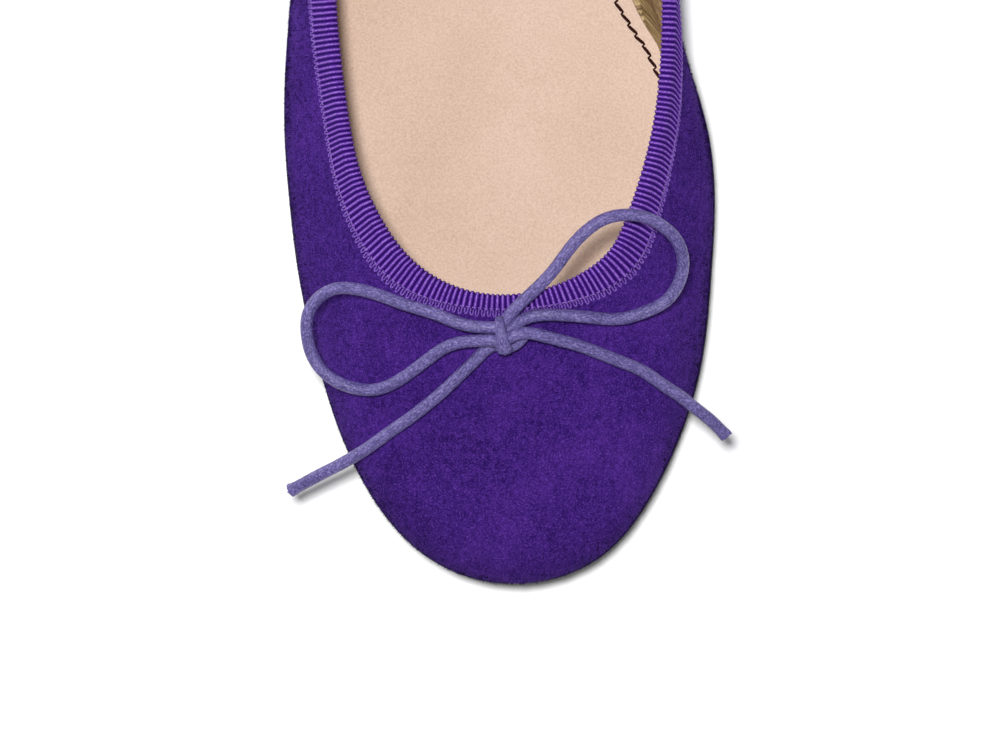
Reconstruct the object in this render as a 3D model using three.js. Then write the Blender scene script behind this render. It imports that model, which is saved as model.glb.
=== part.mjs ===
// A round-toed suede ballet flat for the right foot, in millimetres, +Z up.
// The toe points along -Y, +X is the inner (medial) side, and the shoe stands on z = 0.
import * as THREE from "three";

// Lengths and widths over the upper
const LENGTH = 245;
const BALL_WIDTH = 82;
const COLLAR_WIDTH = 67;
const TOE_COVER = 53.5; // toe tip to the throat's edge
const BACK_LEAN = 4.5; // how far the heel's back stands behind its top edge

// The axis of the last, to the medial side of the ball's middle
const HEEL_AXIS = 7.5;
const TOE_AXIS = 2.7;
const THROAT_AXIS = 1.4;

// Heights
const HEEL_HEIGHT = 9;
const TOE_SPRING = 5;
const BACK_RISE = 49; // heel seat to the top of the back
const THROAT_RISE = 33.5; // sole to the throat's edge
const TOE_WALL = 7; // sole to the widest line at the toe

// Thicknesses, widths and clearances
const SOLE = 3;
const SOLE_REACH = 0.4; // how far the sole shows outside the upper
const SOLE_REACH_LATERAL = 1.0; // and at the middle of the outer side
const SOLE_BEVEL = 0.6;
const HEEL_LENGTH = 57.5; // the heel block, at the seat
const HEEL_INSET = 1.2;
const HEEL_TAPER = 1.6;
const WALL = 1.8;
const WALL_EDGE = 1.3; // the wall is skived thinner under the tape
const SKIVE_START = 0.55; // share of the way up the wall
const TUCK = 2.6; // how far the upper turns in under its widest line
const INSOLE = 2.2;
const TAPE = 0.6;
const TAPE_OUTSIDE = 6.2;
const TAPE_INSIDE = 5;
const CORD = 2.35;
const CORD_SIDES = 8;
const KNOT_WIDTH = 3;
const KNOT_LENGTH = 7.6;
const KNOT_HEIGHT = 5.4;
const KNOT_AHEAD = 6.3; // from the throat's edge towards the toe
const KNOT_LIFT = 2.6; // above the throat's edge
const KNOT_TILT = THREE.MathUtils.degToRad(10); // its front end lies lower
const GAP = 0.3;

// Shares of the length, from the heel's back
const SEAT_END = 0.22; // the level heel seat ends
const TREAD_START = 0.6; // the level tread under the ball
const TREAD_END = 0.74;

// How the facets are laid
const AROUND = 88;
const LOW_ROWS = 3; // sole edge to widest line
const HIGH_ROWS = 7; // widest line to topline
const FOLD_STEPS = 5; // round the tape's fold
const FAN = 0.45; // how far the wall's lines crowd towards the throat
const TURN = THREE.MathUtils.degToRad(55); // the arc by which the wall turns under

// The widest line, by its share of the length. The half widths, measured from the axis and
// divided by the sine of the way round, are shares of the ball width; rise is the height above
// the sole as a share of the toe wall.
const GIRTH = [
  { at: 0.0, lateral: 0.707, medial: 0.707, rise: 2.1 },
  { at: 0.05, lateral: 0.64, medial: 0.64, rise: 2.1 },
  { at: 0.13, lateral: 0.532, medial: 0.528, rise: 2.0 },
  { at: 0.25, lateral: 0.48, medial: 0.398, rise: 1.75 },
  { at: 0.35, lateral: 0.496, medial: 0.339, rise: 1.6 },
  { at: 0.45, lateral: 0.523, medial: 0.303, rise: 1.5 },
  { at: 0.55, lateral: 0.549, medial: 0.325, rise: 1.35 },
  { at: 0.6, lateral: 0.566, medial: 0.388, rise: 1.25 },
  { at: 0.65, lateral: 0.58, medial: 0.448, rise: 1.2 },
  { at: 0.7, lateral: 0.589, medial: 0.485, rise: 1.15 },
  { at: 0.76, lateral: 0.602, medial: 0.515, rise: 1.1 },
  { at: 0.84, lateral: 0.62, medial: 0.566, rise: 1.05 },
  { at: 0.9, lateral: 0.646, medial: 0.597, rise: 1.0 },
  { at: 0.95, lateral: 0.678, medial: 0.64, rise: 1.0 },
  { at: 1.0, lateral: 0.735, medial: 0.735, rise: 1.0 },
];

// The topline, by its share of the opening, from the back. The half widths are shares of the
// collar width, back and throat are shares of the two rises, and tape is the share of the
// tape's width that shows outside.
const TOPLINE = [
  { at: 0.0, lateral: 0.631, medial: 0.631, back: 1.0, throat: 0.0, tape: 1 },
  { at: 0.1, lateral: 0.579, medial: 0.579, back: 0.92, throat: 0.01, tape: 1 },
  { at: 0.25, lateral: 0.496, medial: 0.461, back: 0.6, throat: 0.13, tape: 1 },
  { at: 0.4, lateral: 0.513, medial: 0.403, back: 0.27, throat: 0.48, tape: 1 },
  { at: 0.55, lateral: 0.536, medial: 0.433, back: 0.1, throat: 0.7, tape: 1.04 },
  { at: 0.69, lateral: 0.569, medial: 0.481, back: 0.03, throat: 0.82, tape: 1.04 },
  { at: 0.82, lateral: 0.62, medial: 0.56, back: 0.0, throat: 0.865, tape: 0.94 },
  { at: 0.88, lateral: 0.659, medial: 0.605, back: 0.0, throat: 0.9, tape: 0.92 },
  { at: 0.93, lateral: 0.69, medial: 0.678, back: 0.0, throat: 0.94, tape: 0.95 },
  { at: 0.97, lateral: 0.73, medial: 0.762, back: 0.0, throat: 0.98, tape: 0.8 },
  { at: 1.0, lateral: 0.765, medial: 0.765, back: 0.0, throat: 1.0, tape: 0.42 },
];

// How the wall meets the topline, by the same share: its lean on each side in degrees from
// level, and the lengths of its two handles as shares of the straight line up the wall.
const LEAN = [
  { at: 0.0, lateral: 86, medial: 86, low: 0.3, high: 0.3 },
  { at: 0.1, lateral: 84, medial: 84, low: 0.3, high: 0.3 },
  { at: 0.25, lateral: 80, medial: 84, low: 0.3, high: 0.33 },
  { at: 0.4, lateral: 76, medial: 90, low: 0.3, high: 0.35 },
  { at: 0.55, lateral: 70, medial: 92, low: 0.3, high: 0.35 },
  { at: 0.69, lateral: 61, medial: 84, low: 0.3, high: 0.35 },
  { at: 0.82, lateral: 63, medial: 66, low: 0.28, high: 0.38 },
  { at: 0.88, lateral: 52, medial: 54, low: 0.26, high: 0.42 },
  { at: 0.93, lateral: 39, medial: 41, low: 0.24, high: 0.46 },
  { at: 0.97, lateral: 24, medial: 25, low: 0.22, high: 0.5 },
  { at: 1.0, lateral: 16, medial: 16, low: 0.21, high: 0.52 },
];

// The bow's routes, from the middle of the knot. The loops start and end beside it.
const LOOP_LATERAL = [
  { x: -1.9, y: 1.35, z: -0.2 },
  { x: -6.8, y: 1.8, z: -0.2 },
  { x: -12.6, y: 3.9, z: -0.7 },
  { x: -18.4, y: 5.7, z: -1.6 },
  { x: -23.9, y: 7.7, z: -2.7 },
  { x: -28.2, y: 8.7, z: -3.7 },
  { x: -31.8, y: 8.6, z: -4.6 },
  { x: -34.8, y: 6.9, z: -5.6 },
  { x: -36.8, y: 3.9, z: -6.5 },
  { x: -37.1, y: 0.4, z: -7.3 },
  { x: -36.6, y: -2.5, z: -7.9 },
  { x: -34.9, y: -5.9, z: -8.4 },
  { x: -32.0, y: -8.5, z: -8.8 },
  { x: -28.2, y: -10.0, z: -8.9 },
  { x: -24.5, y: -10.3, z: -8.5 },
  { x: -21.2, y: -9.3, z: -7.6 },
  { x: -17.7, y: -7.2, z: -6.2 },
  { x: -14.2, y: -4.6, z: -4.6 },
  { x: -10.9, y: -2.4, z: -3.1 },
  { x: -7.3, y: -1.3, z: -1.6 },
  { x: -4.0, y: -1.1, z: -0.5 },
  { x: -1.9, y: -1.1, z: -0.2 },
];
const LOOP_MEDIAL = [
  { x: 2.1, y: 4.6, z: -0.3 },
  { x: 4.5, y: 6.9, z: 0.5 },
  { x: 7.6, y: 9.8, z: 1.5 },
  { x: 10.3, y: 12.9, z: 2.2 },
  { x: 12.6, y: 16.0, z: 2.7 },
  { x: 15.6, y: 19.2, z: 2.9 },
  { x: 19.1, y: 21.5, z: 2.7 },
  { x: 22.6, y: 22.3, z: 2.0 },
  { x: 26.6, y: 21.9, z: 0.8 },
  { x: 30.1, y: 20.1, z: -0.7 },
  { x: 32.7, y: 17.3, z: -2.2 },
  { x: 33.7, y: 13.5, z: -3.5 },
  { x: 32.9, y: 9.8, z: -4.5 },
  { x: 30.6, y: 6.5, z: -5.2 },
  { x: 27.0, y: 4.5, z: -5.2 },
  { x: 21.7, y: 3.0, z: -4.5 },
  { x: 16.9, y: 3.2, z: -3.1 },
  { x: 12.2, y: 3.6, z: -1.3 },
  { x: 7.9, y: 3.7, z: -0.8 },
  { x: 5.1, y: 3.3, z: -0.8 },
  { x: 2.5, y: 2.0, z: -1.3 },
];
const END_LATERAL = [
  { x: -2.7, y: -2.4, z: -3.0 },
  { x: -4.6, y: -4.1, z: -3.5 },
  { x: -7.6, y: -7.0, z: -4.6 },
  { x: -10.3, y: -9.6, z: -5.6 },
  { x: -13.9, y: -12.7, z: -7.0 },
  { x: -18.0, y: -15.8, z: -8.7 },
  { x: -21.2, y: -18.0, z: -9.9 },
  { x: -25.0, y: -20.7, z: -11.6 },
  { x: -30.4, y: -24.0, z: -13.9 },
  { x: -34.7, y: -26.2, z: -15.6 },
  { x: -40.9, y: -29.5, z: -18.0 },
];
const END_MEDIAL = [
  { x: 2.2, y: -0.1, z: 1.1 },
  { x: 4.2, y: 0.3, z: 0.7 },
  { x: 7.9, y: -0.3, z: -0.6 },
  { x: 12.2, y: -1.4, z: -2.4 },
  { x: 16.9, y: -3.0, z: -5.0 },
  { x: 21.7, y: -4.9, z: -6.9 },
  { x: 26.6, y: -7.1, z: -9.2 },
  { x: 29.7, y: -9.3, z: -10.6 },
  { x: 33.2, y: -11.6, z: -11.9 },
  { x: 36.1, y: -13.9, z: -13.1 },
  { x: 38.6, y: -15.9, z: -14.1 },
  { x: 41.8, y: -19.1, z: -15.3 },
];
const STEPS = { loopLateral: 24, loopMedial: 28, end: 12 };

// A smooth value down one column of a table: the natural cubic spline through its rows.
function column(table, name) {
  const at = table.map((row) => row.at);
  const value = table.map((row) => row[name]);
  const last = at.length - 1;
  const step = at.slice(1).map((end, i) => end - at[i]);
  const rise = step.map((length, i) => (value[i + 1] - value[i]) / length);
  const bend = new Array(last + 1).fill(0);
  const share = new Array(last + 1).fill(0);
  for (let i = 1; i < last; i += 1) {
    const pivot = 2 * (step[i - 1] + step[i]) - step[i - 1] * share[i - 1];
    share[i] = step[i] / pivot;
    bend[i] = (6 * (rise[i] - rise[i - 1]) - step[i - 1] * bend[i - 1]) / pivot;
  }
  for (let i = last - 1; i > 0; i -= 1) bend[i] -= share[i] * bend[i + 1];
  return (t) => {
    let i = 0;
    while (i < last - 1 && t > at[i + 1]) i += 1;
    const [before, after] = [t - at[i], at[i + 1] - t];
    const [start, end] = [bend[i] / 6, bend[i + 1] / 6];
    const straight = (value[i] * after + value[i + 1] * before) / step[i];
    const curved = start * (after ** 3 / step[i] - step[i] * after);
    return straight + curved + end * (before ** 3 / step[i] - step[i] * before);
  };
}

function columns(table, ...names) {
  return Object.fromEntries(names.map((name) => [name, column(table, name)]));
}
const girthAt = columns(GIRTH, "lateral", "medial", "rise");
const toplineAt = columns(TOPLINE, "lateral", "medial", "back", "throat", "tape");
const leanAt = columns(LEAN, "lateral", "medial", "low", "high");

// The share along the shoe at an angle round it: 0 is the heel's back and pi the toe's tip.
const shareAt = (angle) => (1 - Math.cos(angle)) / 2;
const side = (angle) => (Math.sin(angle) < 0 ? "lateral" : "medial");
const ease = (t) => t * t * (3 - 2 * t);
const clamp = (t) => THREE.MathUtils.clamp(t, 0, 1);

// The underside of the sole: level at the seat and the ball, raised at the waist and the toe
function soleBottom(y) {
  const share = 0.5 - y / LENGTH;
  const seat = ease(clamp((TREAD_START - share) / (TREAD_START - SEAT_END)));
  const toe = Math.max(share - TREAD_END, 0) / (1 - TREAD_END);
  return HEEL_HEIGHT * seat + TOE_SPRING * toe * toe;
}
const soleTop = (y) => soleBottom(y) + SOLE;

// A point of the widest line, seen from above
function girthPlan(angle) {
  const share = shareAt(angle);
  const axis = THREE.MathUtils.lerp(HEEL_AXIS, TOE_AXIS, share);
  const half = BALL_WIDTH * girthAt[side(angle)](share);
  return new THREE.Vector2(axis + Math.sin(angle) * half, LENGTH * (0.5 - share));
}

// A point of the topline, seen from above, and its share of the opening
function toplinePlan(angle) {
  const share = shareAt(angle);
  const along = share * (1 + FAN * (1 - share));
  const across = Math.sin(angle) * Math.sqrt((1 + FAN * (1 - share)) * (1 - FAN * share));
  const axis = THREE.MathUtils.lerp(HEEL_AXIS, THROAT_AXIS, along);
  const half = COLLAR_WIDTH * toplineAt[side(angle)](along);
  const opening = LENGTH - TOE_COVER - BACK_LEAN;
  const y = LENGTH / 2 - BACK_LEAN - along * opening;
  return { at: new THREE.Vector2(axis + across * half, y), along };
}

// The direction that points into the shoe from a closed line, seen from above
function inward(plan, angle) {
  const nudge = 0.002;
  const way = plan(angle + nudge).sub(plan(angle - nudge)).normalize();
  return new THREE.Vector2(-way.y, way.x).negate();
}

// A point of the widest line moved in by inset, at a height above the sole
function girthPoint(angle, inset, height) {
  const at = girthPlan(angle).addScaledVector(inward(girthPlan, angle), inset);
  return new THREE.Vector3(at.x, at.y, soleTop(at.y) + height);
}

function toplinePoint(angle) {
  const { at, along } = toplinePlan(angle);
  const rise = BACK_RISE * toplineAt.back(along) + THROAT_RISE * toplineAt.throat(along);
  return new THREE.Vector3(at.x, at.y, soleTop(at.y) + rise);
}

// The upper's outer line at an angle, from the sole's edge at 0 to the topline at 1
function outline(angle) {
  const widest = girthPoint(angle, 0, GAP + TOE_WALL * girthAt.rise(shareAt(angle)));
  const foot = girthPoint(angle, TUCK, GAP);
  const top = toplinePoint(angle);
  const { along } = toplinePlan(angle);
  const lean = THREE.MathUtils.degToRad(leanAt[side(angle)](along));
  const into = inward((a) => toplinePlan(a).at, angle).multiplyScalar(Math.cos(lean));
  const span = widest.distanceTo(top);
  const low = widest.clone().setZ(widest.z + span * leanAt.low(along));
  const arrive = new THREE.Vector3(into.x, into.y, Math.sin(lean));
  const high = top.clone().addScaledVector(arrive, -span * leanAt.high(along));
  const wall = new THREE.CubicBezierCurve3(widest, low, high, top);
  const turnShare = LOW_ROWS / (LOW_ROWS + HIGH_ROWS);
  return (t) => {
    if (t >= turnShare) return wall.getPoint((t - turnShare) / (1 - turnShare));
    const turn = TURN * (1 - t / turnShare);
    const level = (1 - Math.cos(turn)) / (1 - Math.cos(TURN));
    const drop = Math.sin(turn) / Math.sin(TURN);
    return new THREE.Vector3(
      THREE.MathUtils.lerp(widest.x, foot.x, level),
      THREE.MathUtils.lerp(widest.y, foot.y, level),
      THREE.MathUtils.lerp(widest.z, foot.z, drop),
    );
  };
}

// The wall at an angle: at(t, depth) is a point that deep under its outer face
function wallAt(angle) {
  const nudge = 0.004;
  const [here, before, after] = [outline(angle), outline(angle - nudge), outline(angle + nudge)];
  return {
    outward(t) {
      const low = Math.max(t - nudge, 0);
      const high = Math.min(t + nudge, 1);
      const up = here(high).sub(here(low));
      return up.cross(after(t).sub(before(t))).normalize();
    },
    at(t, depth = 0) {
      return here(t).addScaledVector(this.outward(t), -depth);
    },
    up() {
      return here(1).sub(here(1 - nudge)).normalize();
    },
    // The share at which the outer face is this far below the topline, measured along it
    below(distance) {
      const step = 1 / 60;
      let left = distance;
      for (let t = 1; t > step; t -= step) {
        const length = here(t).distanceTo(here(t - step));
        if (left < length) return t - (step * left) / length;
        left -= length;
      }
      return 0;
    },
  };
}

// How thick the wall is at a share of the way up
function wallThickness(t) {
  const skived = ease(clamp((t - SKIVE_START) / (1 - SKIVE_START)));
  return THREE.MathUtils.lerp(WALL, WALL_EDGE, skived);
}

// Triangles gathered into one closed body, without those that have no area
class Skin {
  constructor() {
    this.triangles = [];
  }

  face(a, b, c) {
    const area = b.clone().sub(a).cross(c.clone().sub(a)).length() / 2;
    if (area > 1e-7) this.triangles.push(a, b, c);
  }

  quad(a, b, c, d) {
    this.face(a, b, c);
    this.face(a, c, d);
  }

  geometry() {
    const made = new THREE.BufferGeometry().setFromPoints(this.triangles);
    made.computeVertexNormals();
    return made;
  }
}

const angles = Array.from({ length: AROUND }, (_, i) => (2 * Math.PI * i) / AROUND);

// A closed section carried round the shoe
function hoop(sectionAt) {
  const sections = angles.map(sectionAt);
  const skin = new Skin();
  sections.forEach((section, i) => {
    const next = sections[(i + 1) % AROUND];
    section.forEach((point, j) => {
      const k = (j + 1) % section.length;
      skin.quad(point, section[k], next[k], next[j]);
    });
  });
  return skin.geometry();
}

// A flat piece from levels, each a row of points down both sides from the back to the front
function slab(levels) {
  const skin = new Skin();
  const last = levels[0].length - 1;
  const strip = (row, facingUp) => {
    for (let i = 0; i < last; i += 1) {
      const [[left, right], [nextLeft, nextRight]] = [row[i], row[i + 1]];
      if (facingUp) skin.quad(left, nextLeft, nextRight, right);
      else skin.quad(left, right, nextRight, nextLeft);
    }
  };
  strip(levels[0], false);
  strip(levels[levels.length - 1], true);
  for (let k = 0; k + 1 < levels.length; k += 1) {
    const [low, high] = [levels[k], levels[k + 1]];
    for (let i = 0; i < last; i += 1) {
      skin.quad(low[i][0], low[i + 1][0], high[i + 1][0], high[i][0]);
      skin.quad(low[i][1], high[i][1], high[i + 1][1], low[i + 1][1]);
    }
    skin.quad(low[0][0], high[0][0], high[0][1], low[0][1]);
    skin.quad(low[last][0], low[last][1], high[last][1], high[last][0]);
  }
  return skin.geometry();
}

// The pairs of points, lateral and medial, of a line round the shoe up to a last angle
function pairs(pointAt, lastAngle = Math.PI) {
  const half = angles.filter((angle) => angle < lastAngle - 0.5 / AROUND);
  return [...half, lastAngle].map((angle) => [pointAt(-angle), pointAt(angle)]);
}

// The points of the wall's outer and inner faces at an angle, from the sole up
function wallRows(angle) {
  const rows = LOW_ROWS + HIGH_ROWS;
  const wall = wallAt(angle);
  const outer = [];
  const inner = [];
  for (let row = 0; row <= rows; row += 1) {
    const t = row / rows;
    outer.push(wall.at(t));
    inner.push(wall.at(t, wallThickness(t)));
  }
  // The foot is level, so the inner face starts in its plane
  const out = wall.outward(0);
  inner[0] = girthPoint(angle, TUCK + WALL / Math.hypot(out.x, out.y), GAP);
  return { outer, inner };
}

function upper() {
  return hoop((angle) => {
    const { outer, inner } = wallRows(angle);
    return [...outer, ...inner.reverse()];
  });
}

// A point at a height above the wall's foot, clear of its inner face
function besideWall(angle, height) {
  const { inner } = wallRows(angle);
  const z = inner[0].z + height;
  const row = inner.findIndex((point) => point.z > z);
  const [low, high] = [inner[row - 1], inner[row]];
  const into = inward(girthPlan, angle).multiplyScalar(GAP);
  const at = low.clone().lerp(high, (z - low.z) / (high.z - low.z));
  return at.add(new THREE.Vector3(into.x, into.y, 0));
}

function outsole() {
  const reach = (angle) => {
    return SOLE_REACH + (SOLE_REACH_LATERAL - SOLE_REACH) * Math.max(0, -Math.sin(angle));
  };
  const edge = (inset, height) => (angle) => {
    const point = girthPoint(angle, inset - reach(angle), 0);
    return point.setZ(soleBottom(point.y) + height);
  };
  return slab([
    pairs(edge(SOLE_BEVEL, 0)),
    pairs(edge(0, SOLE_BEVEL)),
    pairs(edge(0, SOLE)),
  ]);
}

function heel() {
  const breast = Math.acos(1 - (2 * HEEL_LENGTH) / LENGTH);
  const foot = (angle) => girthPoint(angle, HEEL_INSET + HEEL_TAPER, 0).setZ(0);
  const seat = (angle) => {
    const point = girthPoint(angle, HEEL_INSET, 0);
    return point.setZ(soleBottom(point.y) - GAP);
  };
  return slab([pairs(foot, breast), pairs(seat, breast)]);
}

function insole() {
  const level = (height) => pairs((angle) => besideWall(angle, height));
  return slab([level(0), level(INSOLE)]);
}

function toplineBinding() {
  const reach = WALL_EDGE / 2 + GAP; // the fold's inner radius
  const sunk = GAP; // the fold's centre below the wall's edge
  return hoop((angle) => {
    const wall = wallAt(angle);
    const { along } = toplinePlan(angle);
    const [out, up] = [wall.outward(1), wall.up()];
    const centre = wall.at(1, WALL_EDGE / 2).addScaledVector(up, -sunk);
    const fold = (radius, turn) =>
      centre
        .clone()
        .addScaledVector(out, radius * Math.cos(turn))
        .addScaledVector(up, radius * Math.sin(turn));
    const outside = TAPE_OUTSIDE * toplineAt.tape(along);
    const outerLeg = (share, off) => wall.at(wall.below(sunk + share * outside), -off);
    const innerLeg = (share, off) => {
      const t = wall.below(sunk + share * TAPE_INSIDE);
      return wall.at(t, wallThickness(t) + off);
    };
    const hem = [1, 0.67, 0.33];
    const lap = [0.4, 1];
    const turns = Array.from({ length: FOLD_STEPS + 1 }, (_, i) => (Math.PI * i) / FOLD_STEPS);
    const outer = [
      ...hem.map((share) => outerLeg(share, GAP + TAPE)),
      ...turns.map((turn) => fold(reach + TAPE, turn)),
      ...lap.map((share) => innerLeg(share, GAP + TAPE)),
    ];
    const inner = [
      ...hem.map((share) => outerLeg(share, GAP)),
      ...turns.map((turn) => fold(reach, turn)),
      ...lap.map((share) => innerLeg(share, GAP)),
    ];
    return [...outer, ...inner.reverse()];
  });
}

const knotAt = toplinePoint(Math.PI).add(new THREE.Vector3(0, -KNOT_AHEAD, KNOT_LIFT));

// A round cord along a route that starts at the knot
function cord(route, steps) {
  const points = route.map(({ x, y, z }) => new THREE.Vector3(x, y, z).add(knotAt));
  const corners = Array.from({ length: CORD_SIDES }, (_, i) => {
    const turn = (2 * Math.PI * i) / CORD_SIDES;
    return new THREE.Vector2(Math.cos(turn), Math.sin(turn)).multiplyScalar(CORD / 2);
  });
  const extrudePath = new THREE.CatmullRomCurve3(points);
  return new THREE.ExtrudeGeometry(new THREE.Shape(corners), { extrudePath, steps, bevelEnabled: false });
}

// The wrap across the middle of the bow: a long rounded outline, as thick as the cord
function bowKnot() {
  const radius = KNOT_HEIGHT / 2;
  const reach = KNOT_LENGTH / 2 - radius;
  const outline = new THREE.Shape();
  outline.absarc(reach, 0, radius, -Math.PI / 2, Math.PI / 2);
  outline.absarc(-reach, 0, radius, Math.PI / 2, (3 * Math.PI) / 2);
  const bevel = KNOT_WIDTH / 4;
  const made = new THREE.ExtrudeGeometry(outline, {
    depth: KNOT_WIDTH - 2 * bevel,
    curveSegments: 6,
    bevelEnabled: true,
    bevelSegments: 2,
    bevelThickness: bevel,
    bevelSize: bevel,
    bevelOffset: -bevel,
  });
  made.translate(0, 0, bevel - KNOT_WIDTH / 2);
  // The outline's length runs along the shoe and the extrusion across it
  return made.rotateY(Math.PI / 2).rotateX(Math.PI / 2);
}

const suede = new THREE.MeshStandardMaterial({ color: 0x45227c, roughness: 0.95, metalness: 0 });
const grosgrain = new THREE.MeshStandardMaterial({ color: 0x7846b9, roughness: 0.7, metalness: 0 });
const waxedCord = new THREE.MeshStandardMaterial({ color: 0x6e629b, roughness: 0.5, metalness: 0 });
const footbed = new THREE.MeshStandardMaterial({ color: 0xe3c5b1, roughness: 0.6, metalness: 0 });
const soleRubber = new THREE.MeshStandardMaterial({ color: 0x24242a, roughness: 0.7, metalness: 0 });

function named(name, geometry, material) {
  const mesh = new THREE.Mesh(geometry, material);
  mesh.name = name;
  return mesh;
}

const shoe = new THREE.Group();
shoe.add(
  named("outsole", outsole(), soleRubber),
  named("heel", heel(), soleRubber),
  named("upper", upper(), suede),
  named("insole", insole(), footbed),
  named("topline_binding", toplineBinding(), grosgrain),
);

const knot = named("bow_knot", bowKnot(), waxedCord);
knot.position.copy(knotAt);
knot.rotation.x = KNOT_TILT;
const bow = new THREE.Group();
bow.add(
  knot,
  named("bow_loop_lateral", cord(LOOP_LATERAL, STEPS.loopLateral), waxedCord),
  named("bow_loop_medial", cord(LOOP_MEDIAL, STEPS.loopMedial), waxedCord),
  named("bow_end_lateral", cord(END_LATERAL, STEPS.end), waxedCord),
  named("bow_end_medial", cord(END_MEDIAL, STEPS.end), waxedCord),
);

const part = new THREE.Group();
part.add(shoe, bow);
const middle = new THREE.Box3().setFromObject(shoe).getCenter(new THREE.Vector3());
part.position.set(-middle.x, -middle.y, 0);

export default part;
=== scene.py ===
# A round-toed suede ballet flat for the right foot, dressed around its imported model.
# Shapes are worked out in millimetres, as in the model's own source, and made in metres.
import math

import bpy
import numpy as np
from mathutils import Matrix, Vector, noise


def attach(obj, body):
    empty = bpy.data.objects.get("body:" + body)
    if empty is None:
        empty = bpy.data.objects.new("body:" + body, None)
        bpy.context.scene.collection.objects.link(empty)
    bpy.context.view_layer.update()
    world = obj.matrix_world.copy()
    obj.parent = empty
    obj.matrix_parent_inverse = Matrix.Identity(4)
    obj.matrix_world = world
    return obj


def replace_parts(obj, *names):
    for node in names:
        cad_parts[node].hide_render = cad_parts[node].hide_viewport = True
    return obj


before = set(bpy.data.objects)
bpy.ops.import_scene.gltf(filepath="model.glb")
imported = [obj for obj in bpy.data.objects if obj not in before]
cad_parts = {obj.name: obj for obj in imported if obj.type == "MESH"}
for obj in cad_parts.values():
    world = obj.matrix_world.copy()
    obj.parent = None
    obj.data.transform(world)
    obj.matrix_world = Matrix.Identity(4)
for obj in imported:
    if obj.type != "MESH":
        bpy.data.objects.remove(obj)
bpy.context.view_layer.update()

MM = 0.001
SHIFT = np.array([0.517, 0.0, 0.0])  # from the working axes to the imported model's
draw = np.random.default_rng(11)

# Lengths and widths over the upper
LENGTH = 245
BALL_WIDTH = 82
COLLAR_WIDTH = 67
TOE_COVER = 53.5
BACK_LEAN = 4.5
HEEL_AXIS = 7.5
TOE_AXIS = 2.7
THROAT_AXIS = 1.4

# Heights
HEEL_HEIGHT = 9
TOE_SPRING = 5
BACK_RISE = 49
THROAT_RISE = 33.5
TOE_WALL = 7

# Thicknesses, widths and clearances
SOLE = 3
SOLE_REACH = 0.4
SOLE_REACH_LATERAL = 1.0
HEEL_LENGTH = 57.5
HEEL_INSET = 1.2
HEEL_TAPER = 1.6
WALL = 1.8
WALL_EDGE = 1.3
SKIVE_START = 0.55
TUCK = 2.6
INSOLE = 2.2
TAPE_OUTSIDE = 6.2
TAPE_INSIDE = 5
CORD = 2.35
KNOT_AHEAD = 6.3
KNOT_LIFT = 2.6
KNOT_TILT = math.radians(10)
GAP = 0.3

# Shares of the length, from the heel's back
SEAT_END = 0.22
TREAD_START = 0.6
TREAD_END = 0.74
FAN = 0.45
TURN = math.radians(55)
TURN_SHARE = 0.3

GIRTH = {
    "at": (0, 0.05, 0.13, 0.25, 0.35, 0.45, 0.55, 0.6, 0.65, 0.7, 0.76, 0.84, 0.9, 0.95, 1),
    "lateral": (0.707, 0.64, 0.532, 0.48, 0.496, 0.523, 0.549, 0.566, 0.58, 0.589, 0.602, 0.62,
                0.646, 0.678, 0.735),
    "medial": (0.707, 0.64, 0.528, 0.398, 0.339, 0.303, 0.325, 0.388, 0.448, 0.485, 0.515, 0.566,
               0.597, 0.64, 0.735),
    "rise": (2.1, 2.1, 2, 1.75, 1.6, 1.5, 1.35, 1.25, 1.2, 1.15, 1.1, 1.05, 1, 1, 1),
}
TOPLINE = {
    "at": (0, 0.1, 0.25, 0.4, 0.55, 0.69, 0.82, 0.88, 0.93, 0.97, 1),
    "lateral": (0.631, 0.579, 0.496, 0.513, 0.536, 0.569, 0.62, 0.659, 0.69, 0.73, 0.765),
    "medial": (0.631, 0.579, 0.461, 0.403, 0.433, 0.481, 0.56, 0.605, 0.678, 0.762, 0.765),
    "back": (1, 0.92, 0.6, 0.27, 0.1, 0.03, 0, 0, 0, 0, 0),
    "throat": (0, 0.01, 0.13, 0.48, 0.7, 0.82, 0.865, 0.9, 0.94, 0.98, 1),
    "tape": (1, 1, 1, 1, 1.04, 1.04, 0.94, 0.92, 0.95, 0.8, 0.42),
}
LEAN = {
    "at": (0, 0.1, 0.25, 0.4, 0.55, 0.69, 0.82, 0.88, 0.93, 0.97, 1),
    "lateral": (86, 84, 80, 76, 70, 61, 63, 52, 39, 24, 16),
    "medial": (86, 84, 84, 90, 92, 84, 66, 54, 41, 25, 16),
    "low": (0.3, 0.3, 0.3, 0.3, 0.3, 0.3, 0.28, 0.26, 0.24, 0.22, 0.21),
    "high": (0.3, 0.3, 0.33, 0.35, 0.35, 0.35, 0.38, 0.42, 0.46, 0.5, 0.52),
}

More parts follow.
